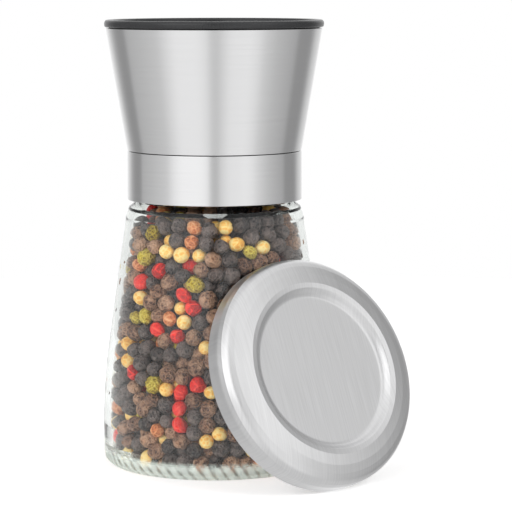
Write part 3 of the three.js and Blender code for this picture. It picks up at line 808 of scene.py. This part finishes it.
def build_peppercorns():
    """Every grain, in pieces by kind and depth. The deeper a layer lies, the plainer its grains are."""
    rng = np.random.default_rng(GRAIN_SEED)
    centres, sizes, depth = packed_grains(rng)
    shares = np.array([k[0] for k in GRAIN_KINDS.values()])
    kinds = rng.choice(len(shares), size=len(centres), p=shares / shares.sum())
    materials = {kind: peppercorn(f"peppercorn_{kind}", *looks) for kind, looks in GRAIN_COLOURS.items()}
    outer = depth < VISIBLE_DEPTH_MM * MM
    core = depth >= SECOND_DEPTH_MM * MM
    layers = (("outer", outer, 4), ("inner", ~outer & ~core, 3), ("core", core, 2))
    first = True
    for layer, chosen, detail in layers:
        for number, kind in enumerate(GRAIN_KINDS):
            members = np.where(chosen & (kinds == number))[0]
            for part, start in enumerate(range(0, len(members), GRAINS_PER_PIECE)):
                some = members[start : start + GRAINS_PER_PIECE]
                name = f"peppercorns_{kind}_{layer}_{part + 1}"
                grains = grain_mesh(name, kind, centres[some], sizes[some], detail, rng)
                replaced = ("peppercorns",) if first else ()
                finish_piece(grains, "jar", "pepper", materials[kind], *replaced)
                first = False


# ---------------------------------------------------------------- head and collar


def build_head():
    shell = turned_copy("grip_shell", "upper_shell", FINE_ROUND)
    finish_piece(shell, "head", "brushed_steel", HEAD_STEEL, "upper_shell")
    funnel = turned_copy("head_funnel", "head_insert", PLAIN_ROUND, FUNNEL_FILLET_MM, 90.0)
    finish_piece(funnel, "head", "black_plastic", BLACK, "head_insert")
    sleeve = turned_copy("steel_sleeve", "lower_sleeve", FINE_ROUND)
    finish_piece(sleeve, "collar", "brushed_steel", HEAD_STEEL, "lower_sleeve")


# ---------------------------------------------------------------- lid


def lid_place():
    """The lid's own frame: Z out of its dome, X level, and the origin in the middle of its open edge."""
    joint = next(j for j in frame["joints"] if j["name"] == "lid_lift")
    out = Vector(joint["axis"]).normalized()
    level = Vector((-out.y, out.x, 0)).normalized()
    up = out.cross(level)
    shell = np.array([v.co for v in frame["nodes"]["lid_shell"].data.vertices])
    centre = rim_centre(shell, out)
    lowest = (shell @ np.array(out)).min()
    origin = centre + out * (lowest - centre.dot(out))
    turn = Matrix((level, up, out)).transposed()
    return Matrix.Translation(origin) @ turn.to_4x4()


def rim_centre(shell, out):
    """The centre of the open edge: the mean of the points on the rim, which are evenly spaced round it."""
    along = shell @ np.array(out)
    rim = shell[along < along.min() + RIM_MM * MM]
    unique = np.unique(np.round(rim, 6), axis=0)
    return Vector(unique.mean(axis=0))


def build_lid():
    place = lid_place()
    for name, node, slot, material, segments in (
        ("lid_cap", "lid_shell", "brushed_steel", LID_STEEL, FINE_ROUND),
        ("lid_plug", "lid_liner", "black_plastic", BLACK, PLAIN_ROUND),
    ):
        piece = turned_copy(name, node, segments, LID_FILLET_MM, place=place)
        map_flat(piece)
        piece.data.transform(place)
        finish_piece(piece, "lid", slot, material, node)


def map_flat(piece):
    """Gives each corner its place across the lid as a UV, so that the brushing can follow the lid."""
    mesh = piece.data
    corners = np.empty(len(mesh.loops), np.int32)
    mesh.loops.foreach_get("vertex_index", corners)
    points = np.empty(len(mesh.vertices) * 3)
    mesh.vertices.foreach_get("co", points)
    flat = points.reshape(-1, 3)[corners, :2]
    mesh.uv_layers.new(name=LID_MAP).data.foreach_set("uv", flat.ravel())


# ---------------------------------------------------------------- CAD nodes that stay


def dress_cad_nodes():
    """Gives the CAD nodes that no piece replaces the material of their slot."""
    finishes = {
        "silicone": silicone(),
        "black_plastic": BLACK,
        "brushed_steel": HEAD_STEEL,
        "bright_steel": BRIGHT_STEEL,
        "brass": BRASS,
        "ceramic": CERAMIC,
    }
    slots = {p["node"]: p["material_slot"] for p in frame["record"]["subparts"]}
    for name, node in frame["nodes"].items():
        if not node.hide_render:
            node.data.materials.clear()
            node.data.materials.append(finishes[slots[name]])


# ---------------------------------------------------------------- studio


def build_camera():
    data = bpy.data.cameras.new("camera")
    data.lens = CAMERA_LENS
    data.sensor_width = CAMERA_SENSOR
    camera = bpy.data.objects.new("camera", data)
    camera.location = Vector(CAMERA_PLACE_MM) * MM
    pitch = math.radians(90 - CAMERA_PITCH_DEG)
    camera.rotation_euler = (pitch, math.radians(CAMERA_ROLL_DEG), 0)
    bpy.context.scene.collection.objects.link(camera)
    bpy.context.scene.camera = camera


def build_floor():
    """A round white table that catches the shadows. The steel mirrors the studio in its place."""
    turn = np.linspace(0, 2 * math.pi, FLOOR_SIDES, endpoint=False)
    corners = [(FLOOR_RADIUS * math.cos(a), FLOOR_RADIUS * math.sin(a), 0) for a in turn]
    floor = new_object("floor", corners, [tuple(range(len(corners)))], smooth=False)
    s = Shader("white_floor")
    s.set(Base_Color=grey(FLOOR_TONE), Roughness=0.9, Specular_IOR_Level=0.1)
    s.set(Emission_Color=grey(1), Emission_Strength=FLOOR_GLOW)
    floor.data.materials.append(s.material)
    floor.visible_glossy = False


# Brightness of the studio by the angle in degrees from the camera's side, positive to the right: a narrow
# gap at the camera, a soft box on each side, grey walls, dark flags and the white background. LOW_LIGHT is
# what lies below the horizon, and HIGH_LIGHT is what lies above it.
LOW_LIGHT = (
    (-180, 1.25), (-162, 0.92), (-148, 0.7), (-138, 0.45), (-128, 0.33), (-113, 0.33), (-110, 0.54),
    (-90, 0.58), (-66, 0.66), (-52, 0.86), (-44, 0.98), (-20, 1.0), (-7, 0.9), (-3, 0.76),
    (4, 0.7), (8, 0.78), (20, 1.0), (40, 1.02), (52, 0.9), (60, 0.72), (75, 0.58), (95, 0.5),
    (103, 0.48), (106, 0.34), (130, 0.32), (136, 0.45), (144, 0.66), (160, 0.8), (180, 1.25),
)
HIGH_LIGHT = (
    (-180, 1.2), (-150, 0.7), (-125, 0.3), (-100, 0.6), (-64, 1.0), (-56, 1.6), (-8, 1.55),
    (-4, 0.05), (5, 0.05), (7, 0.8), (35, 0.9), (45, 1.15), (60, 1.2), (72, 0.95), (84, 0.7),
    (96, 0.5), (108, 0.34), (130, 0.28), (142, 0.7), (180, 1.2),
)
# Heights are those of a direction of length 1. Each zone goes over from the first height to the second.
HORIZON = (0.05, 0.13)
TABLE_ZONE = (-0.5, -0.8)
TABLE_LIGHT = 0.72
CEILING_ZONE = (0.55, 0.95)
CEILING_LIGHT = 0.95
SEEN_THROUGH = 0.7  # share of plain white in what the glass shows behind it
FILL_SHARE = 0.5  # strength of the studio's own light on dull surfaces, next to that of the lamps
LAMP_SIZE = 0.5
LAMPS = {"left": ((-0.7, -0.85, 0.62), 6.9), "right": ((0.75, -0.7, 0.7), 5.1)}  # place and watts


def light_stops(levels):
    """The stops of a ramp that runs once round the studio."""
    return [((degrees + 180) / 360, (level,) * 3) for degrees, level in levels]


def build_world():
    """The studio's light by direction: walls, a ceiling, and a table for what looks steeply down.
    The camera sees white instead, and so does most of what looks through the glass."""
    world = bpy.data.worlds.new("studio")
    world.use_nodes = True
    world.node_tree.nodes.clear()
    bpy.context.scene.world = world
    w = Nodes(world.node_tree)
    direction = w.add("SeparateXYZ", {0: w.add("TexCoord").outputs["Generated"]}).outputs
    height = direction["Z"]
    front = w.math("MULTIPLY", direction["Y"], -1.0)
    turn = w.scaled(w.math("ARCTAN2", direction["X"], front), -math.pi, math.pi)
    low = w.ramp(turn, *light_stops(LOW_LIGHT))
    high = w.ramp(turn, *light_stops(HIGH_LIGHT))
    walls = w.blend(w.scaled(height, *HORIZON), low, high)
    closed_above = w.blend(w.scaled(height, *CEILING_ZONE), walls, grey(CEILING_LIGHT))
    room = w.blend(w.scaled(height, *TABLE_ZONE), closed_above, grey(TABLE_LIGHT))
    path = w.add("LightPath").outputs
    through = w.math("MULTIPLY", path["Is Transmission Ray"], SEEN_THROUGH)
    white = w.math("MAXIMUM", path["Is Camera Ray"], through)
    colour = w.blend(white, room, grey(1.0))
    strength = w.scaled(path["Is Diffuse Ray"], 0.0, 1.0, 1.0, FILL_SHARE)
    background = w.add("Background", {"Color": colour, "Strength": strength})
    w.add("OutputWorld", {"Surface": background.outputs[0]})


def build_lamps():
    """Two soft lamps in front, which shape the dull surfaces and aren't mirrored in the steel."""
    for name, (place, watts) in LAMPS.items():
        data = bpy.data.lights.new(f"lamp_{name}", "AREA")
        data.size = LAMP_SIZE
        data.energy = watts
        lamp = bpy.data.objects.new(f"lamp_{name}", data)
        lamp.location = place
        lamp.rotation_euler = Vector(place).to_track_quat("Z", "Y").to_euler()
        lamp.visible_glossy = False
        lamp.visible_transmission = False
        bpy.context.scene.collection.objects.link(lamp)


bpy.context.scene.view_settings.view_transform = "Standard"

build_camera()
build_jar()
build_peppercorns()
build_head()
build_lid()
dress_cad_nodes()
build_floor()
build_world()
build_lamps()
